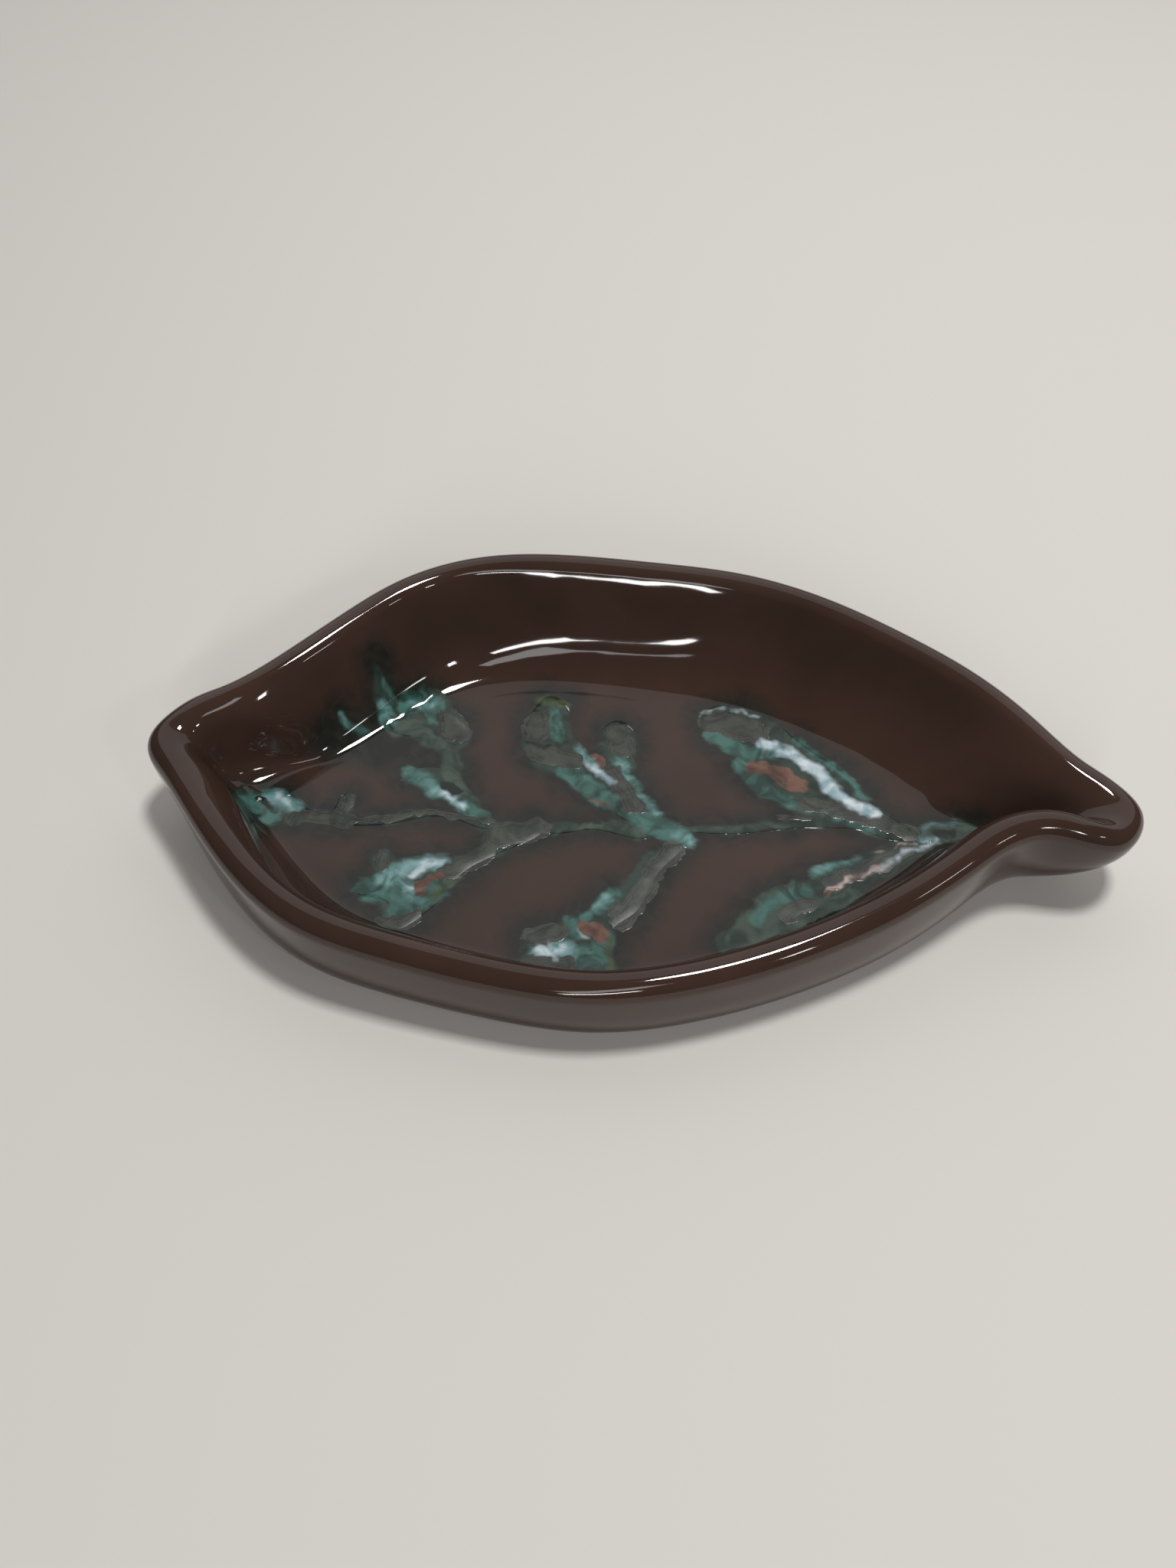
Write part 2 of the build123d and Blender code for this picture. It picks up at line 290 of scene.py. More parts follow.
# The skin grows ring by ring from the underside, over the rim and down into the bowl. It is made
# in mm, and so is the tree that finds the leaf's surface for the veins.
leaf = bmesh.new()
sample = leaf.verts.layers.int.new("sample")
loop = bmesh.ops.create_circle(leaf, segments=around, radius=1.0)["verts"]
for i, vert in enumerate(loop):
    vert[sample] = i
    vert.co = rings[0][i]
edges = leaf.edges[:]
for line in rings[1:]:
    grown = bmesh.ops.extrude_edge_only(leaf, edges=edges)["geom"]
    new = {g for g in grown if isinstance(g, bmesh.types.BMVert)}
    edges = [g for g in grown if isinstance(g, bmesh.types.BMEdge) and new.issuperset(g.verts)]
    for vert in new:
        vert.co = line[vert[sample]]
open_edges = [edge for edge in leaf.edges if edge.is_boundary]
bmesh.ops.holes_fill(leaf, edges=open_edges, sides=0)
bmesh.ops.recalc_face_normals(leaf, faces=leaf.faces)
leaf_tree = BVHTree.FromBMesh(leaf)

mesh = bpy.data.meshes.new("glaze_coat")
for face in leaf.faces:
    face.smooth = True
bmesh.ops.scale(leaf, vec=(MM, MM, MM), verts=leaf.verts)
leaf.to_mesh(mesh)
coat = bpy.data.objects.new("glaze_coat", mesh)
bpy.context.scene.collection.objects.link(coat)

# Fired brown glaze: glass-smooth, dark chocolate, with clouds of about 18 mm. The trailed colours
# run into it where the attributes of the same names say so, marbled and ragged at their edges.
cloud_width = 18
ragged_width = 2.4
marble_width = 4.5
brown, tree, shader = new_material("glossy_brown_glaze")
shader.inputs["IOR"].default_value = 1.5
where = node(tree, "ShaderNodeTexCoord").outputs["Object"]
cloud = node(tree, "ShaderNodeTexNoise",
             {"Vector": where, "Scale": 1 / (cloud_width * MM), "Detail": 3.0})
ragged = node(tree, "ShaderNodeTexNoise",
              {"Vector": where, "Scale": 1 / (ragged_width * MM), "Detail": 4.0,
               "Distortion": 0.6}).outputs["Fac"]
marbled = node(tree, "ShaderNodeTexNoise",
               {"Vector": where, "Scale": 1 / (marble_width * MM), "Detail": 3.0,
                "Distortion": 1.4}).outputs["Fac"]
tone = node(tree, "ShaderNodeValToRGB", {"Fac": cloud.outputs["Fac"]})
set_stops(tone, [(0.35, "#3A2A23"), (0.65, "#433029")])
colour = tone.outputs["Color"]

# Lines that a drying crust of grey glaze leaves round its edge
line_spacing = 0.5
line_strength = 0.08
crust_depth = node(tree, "ShaderNodeAttribute", attribute_name="crust_depth").outputs["Fac"]
turn = node(tree, "ShaderNodeMath", {0: crust_depth, 1: tau / line_spacing, 2: ragged},
            operation="MULTIPLY_ADD")
lines = node(tree, "ShaderNodeMath", {0: turn.outputs[0]}, operation="SINE").outputs[0]
lined = node(tree, "ShaderNodeMath", {0: lines, 1: line_strength, 2: marbled},
             operation="MULTIPLY_ADD").outputs[0]

# Each trailed colour: where it starts to show and where it covers, and its two shades
trailed_colours = [
    ("halo", 0.05, 0.9, "#1E201C", "#2B2A26"), ("bed", 0.25, 0.75, "#202B26", "#35433B"),
    ("moss", 0.25, 0.75, "#29362F", "#46544A"), ("teal", 0.25, 0.8, "#263E37", "#4A7068"),
    ("mint", 0.2, 0.95, "#4A706C", "#7FA5A5"), ("crust", 0.42, 0.6, "#2B2D29", "#43463F"),
    ("pale", 0.32, 1.0, "#8CA8B0", "#D3DDE3"), ("blush", 0.3, 0.95, "#7D5F55", "#C6B3AE"),
    ("rust", 0.3, 0.8, "#4C352C", "#765648"), ("lime", 0.2, 0.95, "#36422D", "#4E5940"),
    ("dark", 0.25, 0.75, "#121B18", "#1C2723"),
]
raggedness = 0.3
shade_from, shade_to = 0.36, 0.62
covers = {}
for kind, starts, covered, dark, light in trailed_colours:
    amount = node(tree, "ShaderNodeAttribute", attribute_name=kind).outputs["Fac"]
    torn = node(tree, "ShaderNodeMath", {0: ragged, 1: raggedness, 2: amount},
                operation="MULTIPLY_ADD").outputs[0]
    covers[kind] = node(tree, "ShaderNodeMapRange",
                        {"Value": torn, "From Min": starts + raggedness / 2,
                         "From Max": covered + raggedness / 2},
                        interpolation_type="SMOOTHSTEP").outputs["Result"]
    shade = node(tree, "ShaderNodeValToRGB", {"Fac": lined if kind == "crust" else marbled})
    set_stops(shade, [(shade_from, dark), (shade_to, light)])
    # Inputs 6 and 7 of a Mix of colours are its A and B, and output 2 is its colour
    colour = node(tree, "ShaderNodeMix",
                  {"Factor": covers[kind], 6: colour, 7: shade.outputs["Color"]},
                  data_type="RGBA").outputs[2]
tree.links.new(colour, shader.inputs["Base Color"])
roughness = node(tree, "ShaderNodeMapRange",
                 {"Value": covers["crust"], "To Min": 0.05, "To Max": 0.38})
tree.links.new(roughness.outputs["Result"], shader.inputs["Roughness"])

# Heights in mm: slow waves left by the hand, and the ridges of the crust
wave_width = 11
wave_height = 0.12
ridge_height = 0.03
wave = node(tree, "ShaderNodeTexNoise",
            {"Vector": where, "Scale": 1 / (wave_width * MM), "Detail": 1.0})
waves = node(tree, "ShaderNodeMath", {0: wave.outputs["Fac"], 1: wave_height},
             operation="MULTIPLY")
ridge = node(tree, "ShaderNodeMath", {0: lined, 1: covers["crust"]}, operation="MULTIPLY")
height = node(tree, "ShaderNodeMath",
              {0: ridge.outputs[0], 1: ridge_height, 2: waves.outputs[0]},
              operation="MULTIPLY_ADD")
relief = node(tree, "ShaderNodeBump",
              {"Height": height.outputs[0], "Strength": 1.0, "Distance": MM})
tree.links.new(relief.outputs["Normal"], shader.inputs["Normal"])
mesh.materials.append(brown)
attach(coat, "root")
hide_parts("brown_glaze")

# ---- Midrib, left half
# A thin run of glaze along the leaf's middle line, between the tip's vein and the middle pair.
# Trailed on by hand over the brown coat and fired with it, so it lies in the coat's surface.

# The same glaze where it was trailed on thickly for the veins. Each stroke has its colour, half
# its width and the line that it follows on the leaf, and each colour an edge of its own softness.
trailed = brown.copy()
trailed.name = "trailed_vein_glaze"

kinds = [kind for kind, *_ in trailed_colours]
softness = {
    "moss": 1.1, "teal": 1.0, "mint": 1.2, "pale": 0.95, "blush": 0.6, "crust": 0.3,
    "rust": 0.5, "lime": 0.8, "dark": 0.6,
}
halo_reach = 2.4
halo_softness = 2.8
bed_softness = 0.9
strokes = []
veins = []
vein_edges = []

# The strokes stray from their lines, in slow bends and in small ones. Without a fixed seed,
# Blender starts its noise vectors from the clock.
bend_reach = 0.9
bend_width = 3.1
flutter_reach = 0.45
noise.seed_set(4)


def gap_to(points, line):
    """Distance of each point from a line of straight runs, in as many dimensions as they have."""
    gap = np.full(len(points), np.inf)
    for start, end in zip(line[:-1], line[1:]):
        step = end - start
        share = np.clip(((points - start) @ step) / (step @ step), 0, 1)
        gap = np.minimum(gap, np.linalg.norm(points - start - share[:, None] * step, axis=1))
    return gap


def depth_inside(points, edge):
    """Distance of each plan point from a closed edge, positive inside it."""
    x1, y1 = edge.T
    x2, y2 = np.roll(edge, -1, axis=0).T
    px, py = points[:, :1], points[:, 1:]
    spans = (y1 > py) != (y2 > py)
    crossing = (x2 - x1) * (py - y1) / np.where(y2 == y1, 1, y2 - y1) + x1
    inside = (spans & (px < crossing)).sum(axis=1) % 2 == 1
    return gap_to(points, np.vstack([edge, edge[:1]])) * np.where(inside, 1, -1)


def on_leaf(plan):
    """The leaf's surface above or below each plan point, and its normal there."""
    above = 30
    down = Vector((0, 0, -1))
    hits = [leaf_tree.ray_cast(Vector((x, y, above)), down)[:2] for x, y in plan]
    return np.array([spot for spot, _ in hits]), np.array([normal for _, normal in hits])


def near(points, line, reach):
    """Which points are within the reach of a line's own box."""
    line = np.asarray(line)[:, :2]
    low, high = line.min(axis=0) - reach, line.max(axis=0) + reach
    return ((points[:, :2] > low) & (points[:, :2] < high)).all(axis=1)


def amounts(points, marks):
    """How much of each kind of trailed glaze lies at each point, from the marks that it left."""
    shifts = [
        bend_reach * noise.noise_vector(Vector(point) / bend_width)
        + flutter_reach * noise.noise_vector(Vector(point))
        for point in points
    ]
    moved = points + np.array(shifts)
    found = {kind: np.zeros(len(points)) for kind in [*kinds, "crust_depth"]}

    def raise_to(kind, here, values):
        found[kind][here] = np.maximum(found[kind][here], np.clip(values, 0, 1))

    for edge in vein_edges:
        here = near(moved, edge, bed_softness)
        raise_to("bed", here, 0.5 + depth_inside(moved[here, :2], edge) / (2 * bed_softness))
    for kind, half_width, line in marks:
        here = near(moved, line, half_width + halo_reach + halo_softness)
        gap = gap_to(moved[here], on_leaf(line)[0])
        raise_to("halo", here, 0.5 + (half_width + halo_reach - gap) / (2 * halo_softness))
        if kind != "halo":
            raise_to(kind, here, 0.5 + (half_width - gap) / (2 * softness[kind]))
        if kind == "crust":
            raise_to("crust_depth", here, half_width - gap)
    return found


def trailed_vein(name, outline):
    """Makes one vein: a skin inside its outline, laid over the leaf and a little proud of it."""
    edge_samples = 160
    cell = 0.3
    # The skin goes on past its outline, and dives under the coat there
    margin = 0.7
    dive = 0.35
    # Inside, it swells like a bead, with ripples and the thickness of a crust
    bead_height = 0.14
    bead_width = 0.8
    ripple_height = 0.05
    ripple_width = 1.8
    crust_height = 0.05
    # On the steep walls it lies under the coat. A normal's height tells wall from floor.
    sunk_on_walls = 0.15
    wall_normal = 0.6
    floor_normal = 0.85
    thickness = 0.5
    edge = closed_spline(np.array(outline, float), edge_samples)
    vein_edges.append(edge)
    low = edge.min(axis=0) - margin
    size = edge.max(axis=0) + margin - low
    cells = np.ceil(size / cell).astype(int)
    skin = bmesh.new()
    bmesh.ops.create_grid(skin, x_segments=int(cells[0]), y_segments=int(cells[1]), size=0.5)
    plan = low + (np.array([vert.co.xy for vert in skin.verts]) + 0.5) * size
    depth = depth_inside(plan, edge)
    kept = depth > -margin
    outside = [vert for vert, stays in zip(skin.verts, kept) if not stays]
    bmesh.ops.delete(skin, geom=outside, context="VERTS")
    depth = depth[kept]
    spots, normals = on_leaf(plan[kept])
    crust = amounts(spots, strokes)["crust"]
    proud = np.where(depth > 0, bead_height * (1 - np.exp(-depth / bead_width)), dive * depth)
    level_share = np.clip((normals[:, 2] - wall_normal) / (floor_normal - wall_normal), 0, 1)
    ripples = [ripple_height * noise.noise(Vector(spot) / ripple_width) for spot in spots]
    swell = (ripples + crust_height * crust) * np.clip(depth, 0, 1)
    rise = level_share * (proud + swell) - sunk_on_walls * (1 - level_share)
    for vert, place in zip(skin.verts, spots + normals * rise[:, None]):
        vert.co = place
    whole = skin.verts[:] + skin.edges[:] + skin.faces[:]
    lowered = bmesh.ops.extrude_face_region(skin, geom=whole, use_keep_orig=True)["geom"]
    lowered = [part for part in lowered if isinstance(part, bmesh.types.BMVert)]
    bmesh.ops.translate(skin, verts=lowered, vec=(0, 0, -thickness))
    bmesh.ops.recalc_face_normals(skin, faces=skin.faces)
    for face in skin.faces:
        face.smooth = True
    bmesh.ops.scale(skin, vec=(MM, MM, MM), verts=skin.verts)
    mesh = bpy.data.meshes.new(name + "_glaze")
    skin.to_mesh(mesh)
    vein = bpy.data.objects.new(name + "_glaze", mesh)
    bpy.context.scene.collection.objects.link(vein)
    mesh.materials.append(trailed)
    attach(vein, "root")
    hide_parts(name)
    veins.append(vein)
    return vein


midrib_left_outline = [
    (-16.5, -7.0), (-13.5, -5.2), (-6.0, -4.6), (3.0, -4.6), (3.0, -5.8), (-6.0, -6.0),
    (-12.5, -7.4),
]
midrib_left_strokes = [
    ("moss", 0.9, [(-14.4, -6.8), (-9.8, -5.6), (-3.6, -5), (1.4, -5.2)]),
    ("lime", 0.4, [(-8.2, -5.6), (-3, -5)]),
]
strokes += midrib_left_strokes
midrib_left_glaze = trailed_vein("midrib_left", midrib_left_outline)

# ---- Midrib, right half
# A fine dark run of glaze along the middle line, towards the stem.
# Trailed on by hand over the brown coat and fired with it, so it lies in the coat's surface.

midrib_right_outline = [
    (8.5, -4.8), (15.0, -3.2), (23.0, -1.4), (30.0, -1.4), (23.0, -3.2), (14.5, -4.8),
]
midrib_right_strokes = [
    ("moss", 0.6, [(9.6, -4.4), (16.4, -3.2), (25.2, -2)]),
]
strokes += midrib_right_strokes
midrib_right_glaze = trailed_vein("midrib_right", midrib_right_outline)

# ---- Near vein, left
# A broad trail of teal glaze that runs from the midrib to the near rim, milky in its middle.
# Trailed on by hand over the brown coat and fired with it, so it lies in the coat's surface.

near_vein_left_outline = [
    (-15.0, -7.0), (-19.5, -11.0), (-24.0, -14.0), (-27.0, -17.0), (-29.0, -21.5),
    (-32.5, -26.0), (-36.0, -28.0), (-38.5, -27.0), (-37.0, -24.0), (-39.5, -22.5),
    (-42.5, -22.0), (-40.5, -17.5), (-41.0, -14.0), (-39.0, -13.0), (-37.5, -16.0),
    (-34.0, -15.0), (-29.0, -13.5), (-24.5, -10.5), (-24.0, -7.0), (-20.0, -6.0),
]
near_vein_left_strokes = [
    ("crust", 0.9, [(-40, -14), (-39.2, -16.4)]),
    ("teal", 2.6, [(-41, -20.8), (-37.4, -20.4), (-34.2, -21.8)]),
    ("moss", 1.6, [(-41.4, -21), (-38.2, -22.8), (-35.4, -24.4)]),
    ("teal", 1.8, [(-35.4, -24.4), (-32.8, -22.8), (-29.6, -19.6)]),
    ("mint", 1.6, [(-37.8, -17.4), (-34.6, -16), (-30.6, -15)]),
    ("mint", 1.2, [(-39, -19), (-35, -19.8), (-33, -21.6)]),
    ("pale", 1.0, [(-34.2, -17.4), (-32.6, -15.6), (-29.8, -14.4)]),
    ("pale", 0.7, [(-35, -20.2), (-33.8, -20)]),
    ("rust", 0.9, [(-33.2, -19.6), (-31.4, -18.4), (-29.6, -17.6)]),
    ("rust", 0.5, [(-32.8, -20.8), (-31.4, -20)]),
    ("lime", 0.7, [(-30.8, -21.4), (-28.4, -19.2), (-27.2, -17.4)]),
    ("crust", 1.4, [(-28.8, -16.6), (-25.8, -14.6), (-23, -11.6)]),
    ("crust", 2.2, [(-22, -8.8), (-18.4, -7.8), (-16, -6.8)]),
    ("moss", 0.8, [(-20, -6.4), (-17.2, -7)]),
    ("crust", 1.4, [(-37.2, -26.6), (-35, -26.8), (-32.8, -25.6)]),
]
strokes += near_vein_left_strokes
near_vein_left_glaze = trailed_vein("near_vein_left", near_vein_left_outline)

# ---- Far vein, middle
# Two arms of trailed glaze, one dry and grey at its end, that meet in a teal point.
# Trailed on by hand over the brown coat and fired with it, so it lies in the coat's surface.

far_vein_middle_outline = [
    (10.0, -6.5), (6.0, -3.0), (2.0, 1.0), (-0.5, 5.0), (-1.0, 10.5), (-1.5, 15.5),
    (-4.5, 18.0), (-7.5, 15.0), (-7.0, 11.0), (-6.0, 7.5), (-9.0, 10.5), (-12.5, 14.5),
    (-14.0, 21.0), (-17.0, 22.5), (-20.0, 17.5), (-20.5, 11.5), (-18.5, 7.0),
    (-13.0, 4.5), (-6.0, -0.5), (0.0, -4.5), (5.0, -7.0), (8.5, -8.0),
]
far_vein_middle_strokes = [
    ("crust", 2.3, [(-18.6, 16.4), (-18.4, 13.2)]),
    ("crust", 2.0, [(-18, 9.2), (-14.8, 8.8), (-11.4, 8.2)]),
    ("lime", 1.4, [(-17.8, 21.4), (-14.8, 21)]),
    ("teal", 1.0, [(-16, 19.6), (-14.6, 12.8)]),
    ("dark", 0.5, [(-19.2, 11.4), (-16.4, 10.4), (-14.2, 11.6)]),
    ("mint", 1.2, [(-10.2, 10), (-7.8, 7.8)]),
    ("teal", 1.9, [(-12, 5.4), (-8.4, 3), (-4.6, 0.2)]),
    ("pale", 0.9, [(-8.6, 7.4), (-6.4, 6), (-4.4, 4.2)]),
    ("rust", 0.7, [(-7.6, 9.4), (-6.4, 7.2)]),
    ("crust", 1.6, [(-4.6, 6.2), (-1.8, 2), (0, -1)]),
    ("crust", 2.4, [(-4.4, 15), (-3.4, 11.6)]),
    ("teal", 1.2, [(-4, 8.6), (-1.6, 5), (-0.2, 3.2)]),
    ("mint", 0.6, [(-4, 8.2), (-1.8, 5.6)]),
    ("mint", 0.8, [(0.8, 1.4), (3.8, -1.6)]),
    ("teal", 1.9, [(-0.6, -2.2), (3.4, -4), (7.8, -6.2)]),
    ("mint", 0.8, [(7, -5.8), (9.6, -6.8)]),
    ("rust", 0.4, [(-7.6, 0.6), (-4.2, -0.8)]),
]
strokes += far_vein_middle_strokes
far_vein_middle_glaze = trailed_vein("far_vein_middle", far_vein_middle_outline)

# ---- Far vein, right
# The longest trail: a grey dry head, a white band along it and a stalk that runs to the stem.
# Trailed on by hand over the brown coat and fired with it, so it lies in the coat's surface.

far_vein_right_outline = [
    (46.5, -2.5), (42.5, 1.0), (39.0, 4.0), (35.0, 9.5), (29.0, 14.5), (24.0, 19.0),
    (17.5, 22.5), (11.5, 22.5), (9.5, 19.5), (12.0, 15.0), (16.0, 11.0), (18.0, 7.0),
    (21.5, 3.5), (26.5, 1.5), (24.5, -1.0), (31.0, -2.0), (37.5, -2.0), (43.5, -3.5),
]
far_vein_right_strokes = [
    ("crust", 2.6, [(11.8, 19.4), (15.8, 18.6), (19.2, 17.6)]),
    ("pale", 0.35, [(9.4, 20.2), (12.4, 22.2), (16.8, 22.2), (19.8, 20.8)]),
    ("teal", 1.6, [(12, 15.8), (16, 13.8), (19.2, 12.8)]),
    ("teal", 1.5, [(17, 9.8), (20.8, 5.2), (25.2, 2.8)]),
    ("moss", 1.3, [(25.2, 3.4), (29, 1.8), (32.6, 0.4)]),
    ("mint", 1.0, [(20.4, 15.4), (22.2, 13)]),
    ("rust", 1.6, [(19.2, 9.8), (22.8, 8.8), (26.8, 6.6)]),
    ("pale", 1.45, [(20.8, 15), (25, 13.4), (29.2, 10.8), (32.2, 6.4), (35, 3.8), (38.8, 1.8)]),
    ("teal", 0.8, [(26.4, 16.2), (31.6, 12), (35.4, 8.4), (38, 5)]),
    ("crust", 1.5, [(28.4, 2.8), (34, 1.4), (40.2, -0.2), (44.6, -1.6)]),
    ("teal", 0.7, [(32.6, 0), (38.6, -1.6)]),
    ("crust", 0.6, [(24.4, -0.4), (28.4, 0)]),
]
strokes += far_vein_right_strokes
far_vein_right_glaze = trailed_vein("far_vein_right", far_vein_right_outline)

# ---- Near vein, right
# A green trail that lies along the near wall, with two pale pink streaks.
# Trailed on by hand over the brown coat and fired with it, so it lies in the coat's surface.

near_vein_right_outline = [
    (49.0, -3.5), (45.0, -3.0), (40.0, -4.5), (36.5, -7.0), (30.5, -10.0), (27.0, -13.5),
    (22.0, -15.0), (18.0, -20.5), (15.0, -26.0), (19.0, -26.0), (25.0, -23.0),
    (31.0, -20.0), (37.0, -14.0), (42.0, -9.5), (46.5, -6.0),
]
near_vein_right_strokes = [
    ("moss", 2.8, [(17, -25.2), (20.4, -22.2), (25.2, -18.8)]),
    ("moss", 2.2, [(18.8, -22.8), (21.8, -18), (26.4, -15)]),
    ("teal", 1.3, [(20, -20.5), (23, -17), (27.5, -14.6)]),
    ("crust", 1.6, [(25.2, -19.2), (27.8, -17.4)]),
    ("crust", 1.5, [(31.8, -12.9), (36.1, -10.4), (40.5, -7.6), (44, -5.4)]),
    ("teal", 0.9, [(29, -11.2), (32.4, -9.8), (35.8, -8.2)]),
    ("mint", 0.5, [(29.6, -10.6), (33.2, -9), (36.2, -7.7)]),
    ("blush", 0.35, [(39.3, -6.2), (42.4, -4.9), (45.5, -3.4)]),
    ("pale", 0.55, [(48.9, -3), (44.8, -5.2), (41.6, -7.5), (38.5, -9.6)]),
    ("blush", 0.6, [(39.5, -8.9), (36.1, -11), (33.3, -13.2), (31.2, -14.9)]),
    ("rust", 0.4, [(33, -13.9), (30.6, -15.4)]),
    ("moss", 1.2, [(28.8, -16.2), (31.6, -16.8), (34.2, -14.8)]),
    ("mint", 0.7, [(46.4, -2.2), (48.6, -3)]),
    ("pale", 0.4, [(46.8, -2.5), (48.8, -3.3)]),
]
strokes += near_vein_right_strokes
near_vein_right_glaze = trailed_vein("near_vein_right", near_vein_right_outline)

# ---- Far vein, left
# A trail that climbs a little way up the far wall, with a short arm to its left.
# Trailed on by hand over the brown coat and fired with it, so it lies in the coat's surface.

far_vein_left_outline = [
    (-24.5, -5.0), (-26.5, -1.5), (-29.5, 2.0), (-31.0, 7.0), (-30.0, 13.0), (-33.5, 17.0),
    (-36.0, 21.0), (-39.5, 20.5), (-43.0, 17.5), (-46.0, 19.5), (-46.0, 13.5),
    (-42.0, 11.0), (-35.5, 9.0), (-33.5, 5.0), (-38.0, 4.0), (-39.5, 2.5),
    (-35.0, -0.5), (-30.5, -3.5),
]
far_vein_left_strokes = [
    ("teal", 2.0, [(-41.4, 17.4), (-38.2, 18.8), (-36.4, 16)]),
    ("mint", 1.1, [(-40.6, 17.8), (-37.8, 18)]),
    ("teal", 1.3, [(-45.4, 15), (-44.2, 13.4)]),
    ("mint", 0.8, [(-45.6, 15.6), (-44.8, 14.2)]),
    ("teal", 0.5, [(-45.6, 18.4), (-44.2, 17)]),
    ("crust", 2.4, [(-33.8, 15.2), (-32.2, 12.6)]),
    ("moss", 1.9, [(-42.4, 12.6), (-39, 12.2), (-35.4, 10.2)]),
    ("moss", 1.5, [(-32.4, 7.6), (-31.4, 3.4), (-29.6, -0.4)]),
    ("teal", 1.6, [(-38.6, 2.8), (-36.2, 1.6), (-33.4, -0.6)]),
    ("mint", 0.9, [(-34.8, 0.6), (-31.8, -1.4), (-29, -3.2)]),
    ("pale", 0.7, [(-32.4, -0.6), (-30.4, -2.2), (-29, -3.2)]),
    ("teal", 1.2, [(-28.6, -3.4), (-26.8, -4.2), (-25.2, -4.6)]),
    ("dark", 0.8, [(-32.6, 1.4), (-30.2, -0.6)]),
]
strokes += far_vein_left_strokes
far_vein_left_glaze = trailed_vein("far_vein_left", far_vein_left_outline)

# ---- Near vein, middle
# A grey dry stalk that ends in a patch with a pale blue star.
# Trailed on by hand over the brown coat and fired with it, so it lies in the coat's surface.

near_vein_middle_outline = [
    (8.5, -7.0), (6.5, -10.5), (3.5, -15.5), (1.5, -21.0), (-2.0, -25.0), (-1.5, -32.0),
    (-9.0, -33.0), (-14.5, -32.0), (-15.5, -28.5), (-12.0, -25.0), (-6.5, -22.0),
    (-2.0, -17.0), (1.0, -12.0), (5.0, -8.0),
]
near_vein_middle_strokes = [
    ("crust", 1.8, [(6.6, -9), (4.2, -12.2), (2.6, -16.4), (1, -20), (-1, -23.2)]),
    ("teal", 1.2, [(-2.4, -18.2), (-4.2, -20.6), (-6.4, -22.6)]),
    ("mint", 0.6, [(-3.4, -18.8), (-5, -21)]),
    ("crust", 1.6, [(-1.4, -21.2), (0.2, -22.8)]),
    ("rust", 1.3, [(-6.4, -24.4), (-4.4, -24.8), (-3.6, -26.4)]),
    ("teal", 1.0, [(-8.6, -24.2), (-7, -26.2)]),
    ("pale", 0.4, [(-7.6, -24.8), (-6, -26.6)]),
    ("crust", 1.9, [(-13.8, -27.2), (-10.8, -26)]),
    ("crust", 1.5, [(-13.6, -31.6), (-11, -32.2), (-7.8, -31.2)]),
    ("mint", 1.9, [(-12.2, -30), (-9, -29.2)]),
    ("pale", 0.9, [(-12.8, -29.4), (-10.8, -29.8), (-9, -28.8)]),
    ("pale", 0.6, [(-11.2, -28.2), (-10.4, -31.2)]),
    ("teal", 1.9, [(-5.8, -29.8), (-3.6, -29.2), (-2.8, -27.2)]),
    ("lime", 0.7, [(-2.2, -26.2), (-1.6, -31)]),
]
strokes += near_vein_middle_strokes
near_vein_middle_glaze = trailed_vein("near_vein_middle", near_vein_middle_outline)

# ---- Tip vein
# A teal patch in the hollow of the tip, with a thin grey run towards the midrib.
# Trailed on by hand over the brown coat and fired with it, so it lies in the coat's surface.

tip_vein_outline = [
    (-64.5, -8.5), (-65.8, -6.2), (-66.2, -3.8), (-64.6, -2.8), (-62.5, -3.6),
    (-60.4, -2.8), (-58.2, -3.0), (-53.8, -6.2), (-50.0, -6.2), (-48.6, -2.6),
    (-46.8, -3.0), (-47.0, -6.5), (-39.5, -6.0), (-35.0, -4.5), (-29.0, -5.0),
    (-23.5, -5.5), (-23.5, -7.0), (-29.0, -6.2), (-38.0, -7.5), (-47.0, -9.0),
    (-55.0, -8.8), (-58.0, -9.6), (-61.5, -10.2),
]
tip_vein_strokes = [
    ("teal", 1.9, [(-63.6, -6.2), (-62, -7.4), (-59.6, -8.2)]),
    ("mint", 1.5, [(-61, -4.4), (-59, -4.8), (-56.4, -5.8)]),
    ("pale", 0.8, [(-59.6, -4.4), (-57.6, -5.2)]),
    ("dark", 0.7, [(-62.6, -5.4), (-59, -7.2)]),
    ("crust", 1.6, [(-55.4, -8.2), (-51.4, -7.8), (-47.2, -7.8)]),
    ("crust", 1.1, [(-48.4, -6.6), (-47.6, -3.4)]),
    ("crust", 0.7, [(-46.2, -8), (-38.8, -6.8), (-34.6, -4.8), (-31.4, -5.4), (-23.6, -6)]),
]
strokes += tip_vein_strokes
tip_vein_glaze = trailed_vein("tip_vein", tip_vein_outline)

# ---- Stem vein
# A short dark green run at the stem end, where the near wall hides its foot.
# Trailed on by hand over the brown coat and fired with it, so it lies in the coat's surface.

stem_vein_outline = [
    (46.3, -1.5), (47.2, 0.5), (50.0, 1.1), (53.5, 0.8), (56.0, 0.4), (55.0, -1.2),
    (50.5, -2.6), (47.5, -3.0),
]
stem_vein_strokes = [
    ("moss", 1.5, [(47.8, -2), (51.2, -1.2)]),
    ("dark", 0.7, [(49.4, -1.8), (52, -0.8)]),
    ("mint", 0.35, [(46.7, -0.8), (48.8, 0.4), (52.6, 1.1)]),
    ("moss", 0.6, [(52.2, 0.6), (55.6, 0.4)]),
]
strokes += stem_vein_strokes
stem_vein_glaze = trailed_vein("stem_vein", stem_vein_outline)

